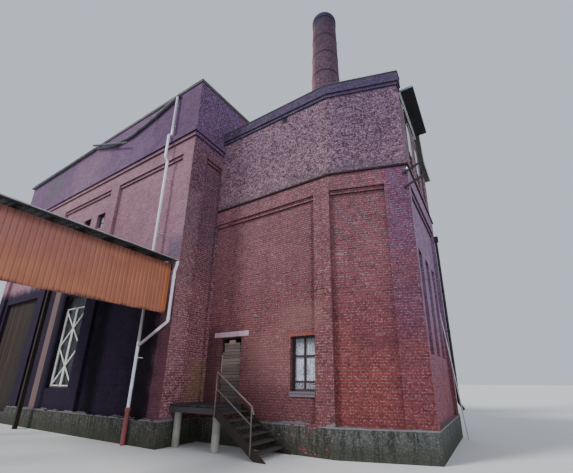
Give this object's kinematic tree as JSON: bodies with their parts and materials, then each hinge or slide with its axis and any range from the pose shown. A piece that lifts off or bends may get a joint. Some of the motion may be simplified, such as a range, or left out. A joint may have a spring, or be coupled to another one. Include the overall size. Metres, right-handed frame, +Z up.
{
  "type": "factory building",
  "caption": "Old brick factory: a tall hall, a lower block with a splayed corner, a round chimney, a sheeted yard canopy and a door stair.",
  "frame": {"origin": "middle of the footprint's bounding box, at the lowest ground", "axes": "+Z up, -Y the yard front, +X towards the splayed corner of the lower block"},
  "size_m": [23.53, 16.8, 27.76],
  "materials": {
    "brick": "fired red brick in lime mortar, matt",
    "mixed_brick": "grey-brown mixed brick, matt",
    "roofing": "bitumen felt, matt",
    "concrete": "grey concrete, rough",
    "stone": "pale stone, worn",
    "old_paint": "flaking pale paint over rust",
    "glass": "dull dirty glass",
    "boards": "weathered grey boards",
    "pale_boards": "pale painted boards, weathered",
    "tan_boards": "tan boarding",
    "timber": "dark weathered timber",
    "zinc": "dull zinc",
    "iron": "rusty iron",
    "red_iron": "rust-red iron",
    "orange_sheet": "orange-brown painted profiled sheet",
    "roof_sheet": "grey profiled sheet"
  },
  "bodies": {
    "root": {"tall_front_wall": "brick", "tall_side_wall": "brick", "tall_back_wall": "brick", "tall_far_wall": "brick", "tall_roof": "roofing", "floors": "concrete", "window_frames": "old_paint", "window_glass": "glass", "gate_boards": "tan_boards", "yard_wall": "brick", "splay_wall": "brick", "side_wall": "brick", "rear_wall": "brick", "yard_wall_upper": "mixed_brick", "splay_wall_upper": "mixed_brick", "side_wall_upper": "mixed_brick", "rear_wall_upper": "mixed_brick", "low_roof": "roofing", "roof_boards": "pale_boards", "parapet_cap": "roofing", "window_sill": "stone", "door_lintel": "stone", "door_frame": "timber", "door_boards": "boards", "hatch_frames": "timber", "hatch_boards": "boards", "hood": "timber", "corner_brackets": "iron", "chimney_pedestal": "brick", "chimney_shaft": "brick", "chimney_bands": "iron", "canopy_rafters": "timber", "canopy_beams": "timber", "canopy_posts": "timber", "canopy_roof": "roof_sheet", "canopy_fascia": "orange_sheet", "fascia_frame": "timber", "canopy_gutter": "zinc", "canopy_downpipe": "zinc", "front_downpipe": "zinc", "standpipe": "red_iron", "tall_gutter": "zinc", "loose_gutter": "zinc", "side_downpipe": "zinc", "rear_gutters": "zinc", "rear_downpipes": "zinc", "leaning_pole": "zinc", "stair_landing": "boards", "landing_posts": "concrete", "stair_stringers": "timber", "stair_treads": "boards", "stair_rail": "iron"}
  },
  "joints": []
}
